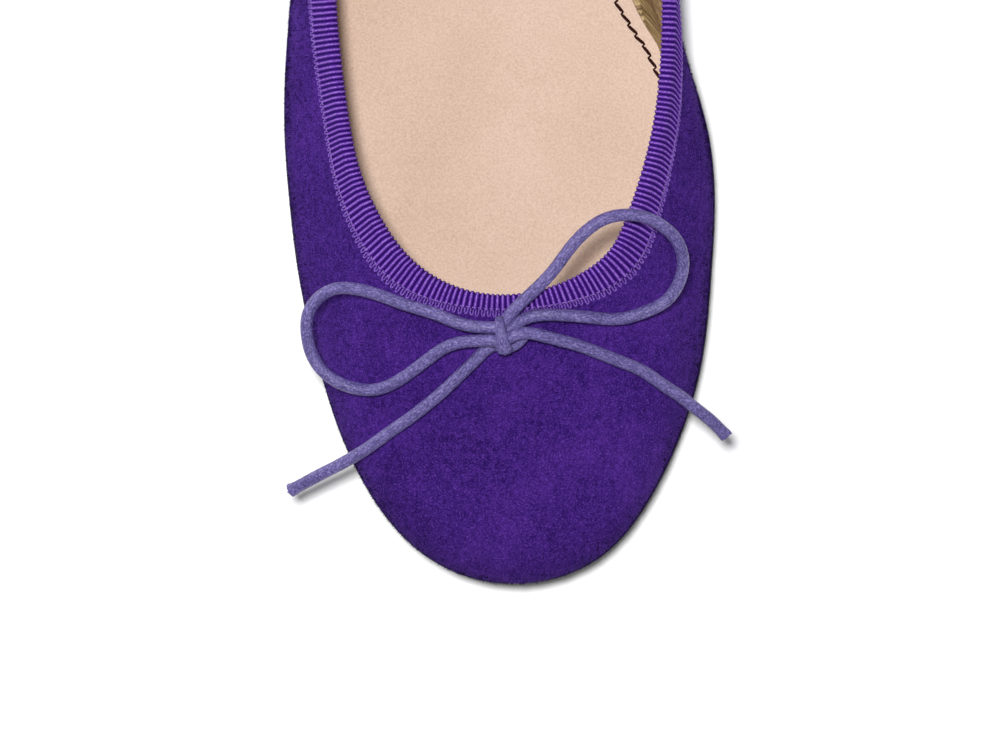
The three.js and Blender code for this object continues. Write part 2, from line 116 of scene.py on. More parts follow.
# The bow's routes, from the middle of the knot
LOOP_LATERAL = (
    (-1.9, 1.35, -0.2), (-6.8, 1.8, -0.2), (-12.6, 3.9, -0.7), (-18.4, 5.7, -1.6), (-23.9, 7.7, -2.7),
    (-28.2, 8.7, -3.7), (-31.8, 8.6, -4.6), (-34.8, 6.9, -5.6), (-36.8, 3.9, -6.5), (-37.1, 0.4, -7.3),
    (-36.6, -2.5, -7.9), (-34.9, -5.9, -8.4), (-32.0, -8.5, -8.8), (-28.2, -10.0, -8.9),
    (-24.5, -10.3, -8.5), (-21.2, -9.3, -7.6), (-17.7, -7.2, -6.2), (-14.2, -4.6, -4.6),
    (-10.9, -2.4, -3.1), (-7.3, -1.3, -1.6), (-4.0, -1.1, -0.5), (-1.9, -1.1, -0.2),
)
LOOP_MEDIAL = (
    (2.1, 4.6, -0.3), (4.5, 6.9, 0.5), (7.6, 9.8, 1.5), (10.3, 12.9, 2.2), (12.6, 16.0, 2.7),
    (15.6, 19.2, 2.9), (19.1, 21.5, 2.7), (22.6, 22.3, 2.0), (26.6, 21.9, 0.8), (30.1, 20.1, -0.7),
    (32.7, 17.3, -2.2), (33.7, 13.5, -3.5), (32.9, 9.8, -4.5), (30.6, 6.5, -5.2), (27.0, 4.5, -5.2),
    (21.7, 3.0, -4.5), (16.9, 3.2, -3.1), (12.2, 3.6, -1.3), (7.9, 3.7, -0.8), (5.1, 3.3, -0.8),
    (2.5, 2.0, -1.3),
)
END_LATERAL = (
    (-2.7, -2.4, -3.0), (-4.6, -4.1, -3.5), (-7.6, -7.0, -4.6), (-10.3, -9.6, -5.6), (-13.9, -12.7, -7.0),
    (-18.0, -15.8, -8.7), (-21.2, -18.0, -9.9), (-25.0, -20.7, -11.6), (-30.4, -24.0, -13.9),
    (-34.7, -26.2, -15.6), (-40.9, -29.5, -18.0),
)
END_MEDIAL = (
    (2.2, -0.1, 1.1), (4.2, 0.3, 0.7), (7.9, -0.3, -0.6), (12.2, -1.4, -2.4), (16.9, -3.0, -5.0),
    (21.7, -4.9, -6.9), (26.6, -7.1, -9.2), (29.7, -9.3, -10.6), (33.2, -11.6, -11.9),
    (36.1, -13.9, -13.1), (38.6, -15.9, -14.1), (41.8, -19.1, -15.3),
)
# Where the routes start and end inside the knot
KNOT_TOP = (-0.4, 1.35, -0.3)
KNOT_BOTTOM = (-0.4, -1.4, -0.3)
KNOT_BACK = ((-0.4, 1.2, -1.3), (0.5, 2.6, -0.9))
KNOT_UNDER = (0.9, 0.8, -1.6)
KNOT_LOW = (-1.2, -1.8, -2.8)
KNOT_FRONT = (0.7, -0.9, 0.2)
# The wrap over the knot: place, half width and half thickness
WRAP = (
    (-0.5, 1.9, -1.6, 0.8, 0.65), (-0.55, 2.85, -0.5, 0.86, 0.7), (-0.52, 2.6, 0.9, 0.9, 0.78),
    (-0.35, 1.6, 1.75, 1.0, 0.85), (-0.1, 0.1, 2.0, 1.15, 0.9), (0.15, -1.5, 1.75, 1.35, 0.92),
    (0.4, -2.7, 0.85, 1.5, 0.9), (0.5, -3.0, -0.5, 1.4, 0.9), (1.1, -2.7, -1.4, 1.35, 0.95),
    (2.3, -2.2, -1.5, 1.25, 0.95), (3.5, -1.3, -1.3, 1.1, 0.85), (4.6, -0.3, -1.2, 0.8, 0.65),
)

# The camera stands to the inner side of the shoe, as it did for the photograph
CAMERA_AT = np.array([42.6, -81.7, 1200.0])
AIM = np.array([0.0, -81.7, 13.0])
PIXELS_PER_MM = 5.24  # in the photograph, at the aim's height
FRAME_WIDTH = 1000
SENSOR = 36


def spline(at, value):
    """The natural cubic spline through the values, as a function of an array."""
    at, value = np.array(at, float), np.array(value, float)
    step = np.diff(at)
    rise = np.diff(value) / step
    rows = np.eye(len(at))
    right = np.zeros(len(at))
    for i in range(1, len(at) - 1):
        rows[i, i - 1 : i + 2] = step[i - 1], 2 * (step[i - 1] + step[i]), step[i]
        right[i] = 6 * (rise[i] - rise[i - 1])
    bend = np.linalg.solve(rows, right)

    def value_at(t):
        i = np.clip(np.searchsorted(at, t) - 1, 0, len(at) - 2)
        before, after = t - at[i], at[i + 1] - t
        straight = (value[i] * after + value[i + 1] * before) / step[i]
        start = bend[i] / 6 * (after**3 / step[i] - step[i] * after)
        return straight + start + bend[i + 1] / 6 * (before**3 / step[i] - step[i] * before)

    return value_at


def columns(table):
    return {name: spline(table["at"], table[name]) for name in table if name != "at"}


girth_at, topline_at, lean_at = columns(GIRTH), columns(TOPLINE), columns(LEAN)


def lerp(start, end, t):
    return start + (end - start) * t


def ease(t):
    t = np.clip(t, 0, 1)
    return t * t * (3 - 2 * t)


def normalized(v):
    return v / np.maximum(np.linalg.norm(v, axis=-1, keepdims=True), 1e-9)


def share_at(angle):
    return (1 - np.cos(angle)) / 2


def by_side(table, angle, share):
    return np.where(np.sin(angle) < 0, table["lateral"](share), table["medial"](share))


def sole_bottom(y):
    share = 0.5 - y / LENGTH
    seat = ease((TREAD_START - share) / (TREAD_START - SEAT_END))
    toe = np.maximum(share - TREAD_END, 0) / (1 - TREAD_END)
    return HEEL_HEIGHT * seat + TOE_SPRING * toe * toe


def sole_top(y):
    return sole_bottom(y) + SOLE


def girth_plan(angle):
    share = share_at(angle)
    half = BALL_WIDTH * by_side(girth_at, angle, share)
    x = lerp(HEEL_AXIS, TOE_AXIS, share) + np.sin(angle) * half
    return np.stack([x, LENGTH * (0.5 - share)], -1)


def along_topline(angle):
    share = share_at(angle)
    return share * (1 + FAN * (1 - share))


def topline_plan(angle):
    share, along = share_at(angle), along_topline(angle)
    across = np.sin(angle) * np.sqrt((1 + FAN * (1 - share)) * (1 - FAN * share))
    half = COLLAR_WIDTH * by_side(topline_at, angle, along)
    x = lerp(HEEL_AXIS, THROAT_AXIS, along) + across * half
    return np.stack([x, LENGTH / 2 - BACK_LEAN - along * (LENGTH - TOE_COVER - BACK_LEAN)], -1)


def inward(plan, angle):
    """The level direction into the shoe from a closed line."""
    way = normalized(plan(angle + 0.002) - plan(angle - 0.002))
    return np.stack([way[..., 1], -way[..., 0]], -1)


def girth_point(angle, inset, height):
    at = girth_plan(angle) + inward(girth_plan, angle) * np.asarray(inset)[..., None]
    return np.concatenate([at, (sole_top(at[..., 1]) + height)[..., None]], -1)


def topline_point(angle):
    at, along = topline_plan(angle), along_topline(angle)
    rise = BACK_RISE * topline_at["back"](along) + THROAT_RISE * topline_at["throat"](along)
    return np.concatenate([at, (sole_top(at[..., 1]) + rise)[..., None]], -1)


def outline(angle, t):
    """The upper's outer face at angles and shares of the way up, arrays of the same shape."""
    along = along_topline(angle)
    widest = girth_point(angle, 0 * angle, GAP + TOE_WALL * girth_at["rise"](share_at(angle)))
    foot = girth_point(angle, TUCK + 0 * angle, GAP)
    top = topline_point(angle)
    lean = np.radians(by_side(lean_at, angle, along))
    into = inward(topline_plan, angle) * np.cos(lean)[..., None]
    span = np.linalg.norm(top - widest, axis=-1)
    low = widest + np.stack([0 * span, 0 * span, span * lean_at["low"](along)], -1)
    arrive = np.concatenate([into, np.sin(lean)[..., None]], -1)
    high = top - arrive * (span * lean_at["high"](along))[..., None]
    u = np.clip((t - TURN_SHARE) / (1 - TURN_SHARE), 0, 1)[..., None]
    wall = widest * (1 - u) ** 3 + 3 * low * u * (1 - u) ** 2 + 3 * high * u * u * (1 - u) + top * u**3
    turn = TURN * (1 - np.clip(t / TURN_SHARE, 0, 1))
    level = ((1 - np.cos(turn)) / (1 - math.cos(TURN)))[..., None]
    drop = (np.sin(turn) / math.sin(TURN))[..., None]
    arc = np.concatenate([lerp(widest, foot, level)[..., :2], lerp(widest, foot, drop)[..., 2:]], -1)
    return np.where((t >= TURN_SHARE)[..., None], wall, arc)


def outward(angle, t):
    nudge = 0.004
    up = outline(angle, np.minimum(t + nudge, 1)) - outline(angle, np.maximum(t - nudge, 0))
    return normalized(np.cross(up, outline(angle + nudge, t) - outline(angle - nudge, t)))


def wall(angle, t, depth=0.0):
    """Points that deep under the upper's outer face."""
    angle, t = np.broadcast_arrays(np.asarray(angle, float), np.asarray(t, float))
    return outline(angle, t) - outward(angle, t) * np.asarray(depth)[..., None]


def upward(angle):
    one = np.ones_like(angle)
    return normalized(outline(angle, one) - outline(angle, one - 0.004))


def below(angle, distance):
    """The shares at which the outer face is that far below the topline: angle (n), distance (n, k)."""
    steps = np.linspace(1, 0.05, 58)
    grid = outline(*np.broadcast_arrays(angle[:, None], steps[None, :]))
    run = np.cumsum(np.linalg.norm(np.diff(grid, axis=1), axis=-1), axis=1)
    run = np.concatenate([np.zeros((len(angle), 1)), run], 1)
    return np.array([np.interp(far, row, steps) for far, row in zip(distance, run)])


def thickness(t):
    return lerp(WALL, WALL_EDGE, ease((t - SKIVE_START) / (1 - SKIVE_START)))


def uneven(points, size):
    """Smooth noise from -1 to 1 at points, with humps about that many millimetres across."""
    flat = points.reshape(-1, 3) / size
    return np.array([noise.noise(Vector(p)) for p in flat]).reshape(points.shape[:-1])


def body(name, points, faces, material, slot, attributes=None, sharp=None):
    """A closed mesh from points in millimetres, riding on the one body."""
    points = (np.asarray(points).reshape(-1, 3) + SHIFT) * MM
    fan = [(f[0], f[k], f[k + 1]) for f in faces for k in range(1, len(f) - 1)]
    a, b, c = (points[[t[k] for t in fan]] for k in range(3))
    if np.einsum("ij,ij->i", a, np.cross(b, c)).sum() < 0:
        faces = [f[::-1] for f in faces]
    mesh = bpy.data.meshes.new(name)
    mesh.from_pydata(points.tolist(), [], faces)
    for key, value in (attributes or {}).items():
        value = np.asarray(value, np.float32)
        vector = value.ndim == 2 and value.shape[1] == 3
        held = mesh.attributes.new(key, "FLOAT_VECTOR" if vector else "FLOAT", "POINT")
        held.data.foreach_set("vector" if vector else "value", value.ravel())
    mesh.materials.append(material)
    mesh.shade_smooth()
    if sharp is not None:
        mesh.set_sharp_from_angle(angle=math.radians(sharp))
    piece = bpy.data.objects.new(name, mesh)
    bpy.context.collection.objects.link(piece)
    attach(piece, "root")
    return piece


def sheet_faces(n, m, closed_along, closed_around, start=0):
    """Quads over a grid of n sections with m points each."""
    i, j = np.meshgrid(np.arange(n if closed_along else n - 1), np.arange(m if closed_around else m - 1),
                       indexing="ij")
    i2, j2 = (i + 1) % n, (j + 1) % m
    return (start + np.stack([i * m + j, i * m + j2, i2 * m + j2, i2 * m + j], -1)).reshape(-1, 4).tolist()


def hoop(sections):
    """Points and faces of a closed section carried round the shoe."""
    return sections.reshape(-1, 3), sheet_faces(*sections.shape[:2], True, True)


def bar(sections, start=0):
    """Points and faces of closed sections along a row, with both ends capped."""
    n, m = sections.shape[:2]
    faces = sheet_faces(n, m, False, True, start)
    caps = [list(range(start, start + m))[::-1], list(range(start + (n - 1) * m, start + n * m))]
    return sections.reshape(-1, 3), faces + caps


def many(solids):
    """Points and faces of several bars in one mesh."""
    points, faces, start = [], [], 0
    for sections in solids:
        made, quads = bar(sections, start)
        points.append(made)
        faces += quads
        start += len(made)
    return np.concatenate(points), faces


def tube(path, over, half_width, half_height, sides):
    """Sections of a tube along path (..., q, 3); over points to its upper side."""
    ahead = normalized(np.gradient(path, axis=-2))
    across = normalized(np.cross(ahead, over))
    over = np.cross(across, ahead)
    turn = np.linspace(0, 2 * math.pi, sides, endpoint=False)
    flat = across[..., None, :] * np.cos(turn)[:, None] * np.asarray(half_width)[..., None, None]
    return path[..., None, :] + flat + over[..., None, :] * np.sin(turn)[:, None] * np.asarray(
        half_height)[..., None, None]


def srgb(*values):
    """A colour given as it looks, 0 to 255, for a shader's socket."""
    share = np.array(values) / 255
    return (*np.where(share < 0.04045, share / 12.92, ((share + 0.055) / 1.055) ** 2.4), 1.0)


class Paint:
    """A node material, built up from short calls."""

    def __init__(self, name, **sockets):
        self.material = bpy.data.materials.new(name)
        self.material.use_nodes = True
        self.tree = self.material.node_tree
        self.shader = self.tree.nodes["Principled BSDF"]
        self.place = self.node("TexCoord").outputs["Object"]
        for socket, value in sockets.items():
            self.shader.inputs[socket.replace("_", " ")].default_value = value

    def node(self, kind, inputs=None, **settings):
        made = self.tree.nodes.new("ShaderNode" + kind)
        for key, value in settings.items():
            setattr(made, key, value)
        for key, value in (inputs or {}).items():
            self.set(made.inputs[key], value)
        return made

    def set(self, socket, value):
        if isinstance(value, bpy.types.NodeSocket):
            self.tree.links.new(value, socket)
        else:
            socket.default_value = value

    def noise(self, size, detail=2.0, stretch=(1, 1, 1), roughness=0.5, place=None):
        """Noise with humps about that many millimetres across."""
        place = self.node("Mapping", {"Vector": place or self.place, "Scale": stretch}).outputs[0]
        inputs = {"Vector": place, "Scale": 1 / (size * MM), "Detail": detail, "Roughness": roughness}
        return self.node("TexNoise", inputs).outputs["Fac"]

    def held(self, name):
        return self.node("Attribute", attribute_name=name).outputs["Fac"]

    def ramp(self, value, *stops):
        """Colours at places from 0 to 1."""
        made = self.node("ValToRGB", {"Fac": value})
        ramp = made.color_ramp
        while len(ramp.elements) < len(stops):
            ramp.elements.new(0.5)
        for element, (place, colour) in zip(ramp.elements, stops):
            element.position = place
            element.color = colour
        return made.outputs["Color"]

    def math(self, operation, a, b):
        return self.node("Math", {0: a, 1: b}, operation=operation).outputs[0]

    def spread(self, value, low, high):
        return self.node("MapRange", {"Value": value, "To Min": low, "To Max": high}).outputs[0]

    def mix(self, share, a, b):
        made = self.node("Mix", data_type="RGBA")
        for key, value in ((0, share), (6, a), (7, b)):
            self.set(made.inputs[key], value)
        return made.outputs[2]

    def colour(self, value):
        self.set(self.shader.inputs["Base Color"], value)

    def bump(self, *layers):
        """Layers of a height from 0 to 1, how deep it is in millimetres and its strength."""
        normal = None
        for height, deep, strength in layers:
            made = self.node("Bump", {"Height": height, "Distance": deep * MM, "Strength": strength})
            if normal is not None:
                self.set(made.inputs["Normal"], normal)
            normal = made.outputs[0]
        self.set(self.shader.inputs["Normal"], normal)


# Noise takes its size in millimetres, its detail, its stretch and its roughness
SOCK_CELL = 0.7
LINING_LEAN = math.radians(-50)


def suede_paint():
    paint = Paint("suede", Roughness=1.0, Specular_IOR_Level=0.06, Sheen_Weight=0.05,
                  Sheen_Roughness=0.5)
    paint.shader.inputs["Sheen Tint"].default_value = srgb(150, 110, 215)
    drift = paint.ramp(paint.noise(18, 3.0, roughness=0.65),
                       (0.34, srgb(24, 6, 67)), (0.5, srgb(46, 18, 98)), (0.66, srgb(84, 43, 142)))
    stroke = paint.noise(3.2, 4.0, (1.0, 0.5, 1.0), 0.7)
    stroke_tone = paint.ramp(stroke, (0.36, srgb(40, 15, 86)), (0.64, srgb(74, 37, 135)))
    clump = paint.noise(1.1, 3.0, (1.0, 0.7, 1.0), 0.75)
    clump_tone = paint.ramp(clump, (0.38, srgb(22, 6, 64)), (0.62, srgb(94, 53, 155)))
    brushed = paint.mix(0.35, paint.mix(0.4, drift, stroke_tone), clump_tone)
    nap = paint.noise(0.34, 2.0, roughness=0.8)
    speck = paint.ramp(nap, (0.34, srgb(14, 2, 53)), (0.5, srgb(46, 18, 98)), (0.66, srgb(100, 58, 160)),
                       (0.8, srgb(140, 106, 192)))
    paint.colour(paint.mix(0.46, brushed, speck))
    paint.bump((stroke, 0.3, 0.3), (nap, 0.2, 0.7))
    return paint.material


def nap_paint():
    paint = Paint("suede nap", Roughness=1.0, Specular_IOR_Level=0.02)
    paint.colour(paint.ramp(paint.noise(1.2), (0.4, srgb(20, 10, 46)), (0.6, srgb(72, 40, 126))))
    return paint.material


def tape_paint():
    paint = Paint("grosgrain", Roughness=0.9, Specular_IOR_Level=0.06)
    yarn = paint.noise(0.26, 2.0)
    # The tape's colour follows the ribs: the grooves and the tape's edges are painted dark and the rib tops
    # painted light, as painted shade and painted highlight.
    ridge = paint.math("ADD", paint.held("ridge"), paint.spread(yarn, -0.3, 0.3))
    paint.colour(paint.ramp(ridge, (0.25, srgb(38, 10, 86)), (0.58, srgb(66, 27, 126)),
                            (0.86, srgb(96, 54, 152)), (1.0, srgb(146, 106, 194))))
    paint.bump((yarn, 0.12, 0.7))
    return paint.material


def thread_paint(name, dark, light):
    paint = Paint(name, Roughness=0.75, Specular_IOR_Level=0.1)
    strand = paint.noise(0.25, 2.0)
    paint.colour(paint.ramp(strand, (0.35, dark), (0.68, light)))
    paint.bump((strand, 0.06, 0.6))
    return paint.material


def cord_paint():
    """Fine flecks that lie along the cord, in a braid that hardly shows."""
    paint = Paint("waxed cord", Roughness=0.5, Specular_IOR_Level=0.4, Coat_Weight=0.12,
                  Coat_Roughness=0.35)
    along = paint.node("Attribute", attribute_name="lay").outputs["Vector"]
    fleck = paint.noise(0.26, 2.0, (1.0, 1.0, 0.55), 0.7, along)
    streak = paint.noise(0.9, 2.0, (1.0, 1.0, 0.12), 0.5, along)
    drift = paint.noise(4.0, 2.0)
    tone = paint.ramp(fleck, (0.36, srgb(38, 28, 80)), (0.5, srgb(78, 66, 128)),
                      (0.66, srgb(150, 139, 200)))
    line = paint.ramp(streak, (0.38, srgb(70, 59, 118)), (0.62, srgb(118, 105, 170)))
    worn = paint.ramp(drift, (0.35, srgb(74, 63, 122)), (0.68, srgb(112, 100, 162)))
    paint.colour(paint.mix(0.2, paint.mix(0.25, tone, line), worn))
    paint.bump((fleck, 0.25, 0.8), (paint.held("braid"), 0.06, 0.5))
    return paint.material


def sock_paint():
    paint = Paint("sock leather", Roughness=0.65, Specular_IOR_Level=0.25)
    cells = paint.node("TexVoronoi", {"Vector": paint.place, "Scale": 1 / (SOCK_CELL * MM)})
    grain = paint.noise(0.4, 3.0, roughness=0.7)
    drift = paint.ramp(paint.noise(22, 3.0), (0.3, srgb(201, 171, 150)), (0.7, srgb(217, 190, 172)))
    fleck = paint.ramp(grain, (0.3, srgb(176, 145, 123)), (0.62, srgb(226, 199, 182)))
    paint.colour(paint.mix(0.45, drift, fleck))
    paint.bump((cells.outputs["Distance"], 0.1, 0.3), (grain, 0.1, 0.4))
    return paint.material


def lining_paint():
    """Thin leather, drawn into fine lines that run up the wall and lean to the toe, with painted shade in
    their troughs and painted highlights on their crests.
    """
    paint = Paint("lining leather", Roughness=0.6, Specular_IOR_Level=0.25)
    grain = paint.noise(0.5, 3.0)
    turned = paint.node("Mapping", {"Vector": paint.place, "Rotation": (LINING_LEAN, 0, 0)}).outputs[0]
    line = paint.noise(0.5, 2.0, (0.05, 1.0, 0.04), 0.65, turned)
    # Dark troughs and pale crests of the lines: painted shade and painted highlight.
    tone = paint.ramp(line, (0.41, srgb(74, 51, 24)), (0.47, srgb(150, 124, 83)),
                      (0.56, srgb(172, 146, 104)), (0.65, srgb(200, 176, 135)))
    fine = paint.ramp(grain, (0.3, srgb(128, 100, 64)), (0.7, srgb(192, 166, 124)))
    paint.colour(paint.mix(0.2, tone, fine))
    paint.bump((line, 0.3, 0.5), (grain, 0.12, 0.4))
    return paint.material


def sole_paint():
    paint = Paint("sole", Roughness=0.62, Specular_IOR_Level=0.4)
    speck = paint.noise(0.5, 3.0)
    drift = paint.ramp(paint.noise(18, 3.0), (0.3, srgb(30, 30, 35)), (0.7, srgb(46, 46, 52)))
    fine = paint.ramp(speck, (0.3, srgb(24, 24, 28)), (0.7, srgb(58, 58, 64)))
    paint.colour(paint.mix(0.3, drift, fine))
    paint.bump((speck, 0.15, 0.5))
    return paint.material


def heel_paint():
    paint = Paint("heel", Roughness=0.5, Specular_IOR_Level=0.45)
    layers = paint.noise(1.4, 2.0, (0.02, 0.02, 1.0))
    paint.colour(paint.ramp(layers, (0.35, srgb(28, 27, 32)), (0.65, srgb(44, 43, 49))))
    paint.bump((layers, 0.12, 0.5), (paint.noise(0.4, 2.0), 0.08, 0.4))
    return paint.material


def even_angles(pointer, spacing, count=None):
    """Angles at even steps along a closed line, and its length."""
    fine = np.linspace(0, 2 * math.pi, 4001)
    run = np.concatenate([[0], np.cumsum(np.linalg.norm(np.diff(pointer(fine), axis=0), axis=-1))])
    count = count or round(run[-1] / spacing)
    return np.interp(np.arange(count) * run[-1] / count, run, fine), run[-1]


def even_path(route, spacing):
    """A route as one smooth line in even steps."""
    points = np.array(route, float)
    at = np.concatenate([[0], np.cumsum(np.linalg.norm(np.diff(points, axis=0), axis=1))])
    fine = np.linspace(0, at[-1], 4000)
    line = np.stack([spline(at, points[:, k])(fine) for k in range(points.shape[1])], -1)
    run = np.concatenate([[0], np.cumsum(np.linalg.norm(np.diff(line[:, :3], axis=0), axis=1))])
    steps = np.linspace(0, run[-1], max(2, round(run[-1] / spacing) + 1))
    return np.stack([np.interp(steps, run, line[:, k]) for k in range(points.shape[1])], -1), run[-1]


# Camera
def add_camera():
    data = bpy.data.cameras.new("camera")
    data.sensor_width = SENSOR
    data.lens = SENSOR * PIXELS_PER_MM * (CAMERA_AT[2] - AIM[2]) / FRAME_WIDTH
    data.clip_end = 20
    camera = bpy.data.objects.new("camera", data)
    camera.location = (CAMERA_AT + SHIFT) * MM
    back = normalized(CAMERA_AT - AIM)
    right = normalized(np.cross([0, 1, 0], back))
    camera.rotation_mode = "QUATERNION"
    camera.rotation_quaternion = Matrix(np.stack([right, np.cross(back, right), back], 1)).to_quaternion()
    bpy.context.collection.objects.link(camera)
    bpy.context.scene.camera = camera


add_camera()

# The bow: a round waxed cord, tied at the throat
KNOT_AT = topline_point(np.array([math.pi]))[0] + [0, -KNOT_AHEAD, KNOT_LIFT]
CORD_SIDES = 40
CORD_STEP = 0.25
BRAID_AROUND = 8
BRAID_PITCH = 1.5
BRAID_DEPTH = 0.03
BRAID_MIDDLE = 0.6  # the braid's height at the cord's own radius
WAVER = 0.03
CUT_FLARE = 0.08  # share by which a cut end is thicker, over its last millimetres
CUT_FLARE_LENGTH = 2.2
CUT_SPREAD = 1.15
CUT_FIBRES = 34
WRAP_STEP = 0.2
WRAP_MIDDLE = (0.2, 0.0, -0.4)
WRAP_BRAID = 1.2  # the wrap's braid, as a multiple of the cord's
WRAP_LAY = 200  # keeps the wrap's flecks apart from the loops'


def carried_frame(path):
    """An upward direction carried along a path without twisting."""
    ahead = normalized(np.gradient(path, axis=0))
    over = [np.array([0.0, 0.0, 1.0])]
    for way in ahead:
        last = over[-1]
        over.append(normalized(last - way * (last @ way)))
    return np.array(over[1:])


def braid(turns, distance):
    """The height of a braided cover, 0 to 1, at turns round the cord and millimetres along it."""
    right = np.sin(math.pi * (BRAID_AROUND * turns + distance / BRAID_PITCH))
    left = np.sin(math.pi * (BRAID_AROUND * turns - distance / BRAID_PITCH))
    return np.abs(right * left)


def along_cord(turns, run):
    """Places on an unrolled cord, in metres: across by turns, and along."""
    round_it = np.stack([np.cos(2 * math.pi * turns), np.sin(2 * math.pi * turns)], -1) * CORD / 2
    round_it = np.broadcast_to(round_it, (len(run), len(turns), 2))
    far = np.broadcast_to(run[:, None, None], (len(run), len(turns), 1))
    return np.concatenate([round_it, far], -1).reshape(-1, 3) * MM


def cut_end(path, over, radius):
    """Short fibres round a cut end."""
    ahead = normalized(path[-1] - path[-3])
    side = normalized(np.cross(ahead, over[-1]))
    up = np.cross(side, ahead)
    fibres = []
    for k in range(CUT_FIBRES):
        turn, reach = 2 * math.pi * draw.random(), radius * math.sqrt(draw.random())
        out = side * math.cos(turn) + up * math.sin(turn)
        root = path[-1] + out * reach * 0.95 - ahead * 0.5
        tip = root + ahead * draw.uniform(0.5, 0.75) + out * draw.uniform(0.0, 0.08) * reach
        line = np.linspace(root, tip, 4)
        size = np.array([0.2, 0.2, 0.18, 0.08]) * draw.uniform(0.7, 1.2)
        fibres.append(tube(line, np.tile(up, (4, 1)), size, size, 6))
    return fibres


def bow_cord(name, node, route, material, cut=False):
    path, length = even_path(np.array(route) + KNOT_AT, CORD_STEP)
    over = carried_frame(path)
    run = np.arange(len(path)) * length / (len(path) - 1)
    turns = np.arange(CORD_SIDES) / CORD_SIDES
    height = braid(turns[None, :], run[:, None])
    radius = CORD / 2 + (height - BRAID_MIDDLE) * BRAID_DEPTH
    radius += WAVER * uneven(path, 2.0)[:, None]
    if cut:
        radius *= (1 + CUT_FLARE * ease(1 - (length - run) / CUT_FLARE_LENGTH))[:, None]
    ahead = normalized(np.gradient(path, axis=0))
    side = normalized(np.cross(ahead, over))
    turn = 2 * math.pi * turns[None, :, None]
    spoke = side[:, None] * np.cos(turn) + over[:, None] * np.sin(turn)
    rings = path[:, None] + radius[..., None] * spoke
    points, faces = many([rings, *(cut_end(path, over, CORD / 2 * CUT_SPREAD) if cut else [])])
    held = np.full(len(points), 0.55)
    held[: height.size] = height.ravel()
    lay = (points - path[-1]) * MM
    lay[: height.size] = along_cord(turns, run)
    piece = body(name, points, faces, material, "cord", {"braid": held, "lay": lay})
    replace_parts(piece, node)
    return piece, (path + SHIFT) * MM, length * MM


cord_material = cord_paint()
loop_lateral = bow_cord("cord_loop_lateral", "bow_loop_lateral", (KNOT_TOP, *LOOP_LATERAL, KNOT_BOTTOM),
                        cord_material)
loop_medial = bow_cord("cord_loop_medial", "bow_loop_medial", (*KNOT_BACK, *LOOP_MEDIAL, KNOT_UNDER),
                       cord_material)
end_lateral = bow_cord("cord_end_lateral", "bow_end_lateral", (KNOT_LOW, *END_LATERAL), cord_material, True)
end_medial = bow_cord("cord_end_medial", "bow_end_medial", (KNOT_FRONT, *END_MEDIAL), cord_material, True)


def knot_wrap():
    line, length = even_path(WRAP, WRAP_STEP)
    tilt = np.array([[1, 0, 0], [0, math.cos(KNOT_TILT), -math.sin(KNOT_TILT)],
                     [0, math.sin(KNOT_TILT), math.cos(KNOT_TILT)]])
    path = line[:, :3] @ tilt.T
    over = path - np.array(WRAP_MIDDLE)
    run = np.arange(len(path)) * length / (len(path) - 1)
    turns = np.arange(CORD_SIDES) / CORD_SIDES
    height = braid(turns[None, :], run[:, None])
    grow = 1 + (height - BRAID_MIDDLE) * BRAID_DEPTH * WRAP_BRAID
    sections = tube(path, over, line[:, 3], line[:, 4], CORD_SIDES)
    sections = path[:, None] + (sections - path[:, None]) * grow[..., None]
    points, faces = bar(sections + KNOT_AT)
    held = {"braid": height, "lay": along_cord(turns, run + WRAP_LAY)}
    piece = body("cord_knot", points, faces, cord_material, "cord", held)
    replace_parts(piece, "bow_knot")
    return piece


knot = knot_wrap()

# The upper: a suede shell over a leather lining
SUEDE_DEEP = 1.05
SEAM_DEPTH = 0.35
SEAM_WIDTH = 0.55
SUEDE_WAVES = ((0.16, 11), (0.07, 4.5))  # height and size
LINING_CLEAR = 0.03
WRINKLE_SHARE = 0.5
WRINKLE_SPREAD = 0.09
WRINKLE_DEPTH = 0.3
SHELL_STEPS = 400
SEAM_SPAN = 0.05  # the angle on each side of the back seam with finer steps


def shell_angles():
    ring = np.linspace(0, 2 * math.pi, SHELL_STEPS, endpoint=False)
    near_seam = np.linspace(-SEAM_SPAN, SEAM_SPAN, 21) % (2 * math.pi)
    return np.unique(np.round(np.concatenate([ring, near_seam]), 6))


def suede_shell(material):
    angle = shell_angles()[:, None]
    t = np.concatenate([np.linspace(0, TURN_SHARE, 12)[:-1], np.linspace(TURN_SHARE, 1, 36)])[None, :]
    outer = wall(angle, t)
    out = outward(*np.broadcast_arrays(angle, t))
    hidden = ease((t - 0.93) / 0.07) + 1 - ease(t / 0.12)
    lift = sum(high * uneven(outer, size) for high, size in SUEDE_WAVES) * (1 - np.clip(hidden, 0, 1))
    from_seam = np.abs(outer[..., 0] - HEEL_AXIS) + np.where(outer[..., 1] > 0, 0, 99)
    lift -= SEAM_DEPTH * np.exp(-((from_seam / SEAM_WIDTH) ** 2))
    inner_t = np.linspace(0, 1, 24)[None, :]
    deep = SUEDE_DEEP * thickness(inner_t) / WALL
    inner = wall(angle, inner_t, deep)
    level = np.linalg.norm(out[:, 0, :2], axis=-1)
    inner[:, 0] = girth_point(angle[:, 0], TUCK + SUEDE_DEEP / level, GAP)
    sections = np.concatenate([outer + out * lift[..., None], inner[:, ::-1]], 1)
    return body("suede_upper", *hoop(sections), material, "suede", sharp=50)


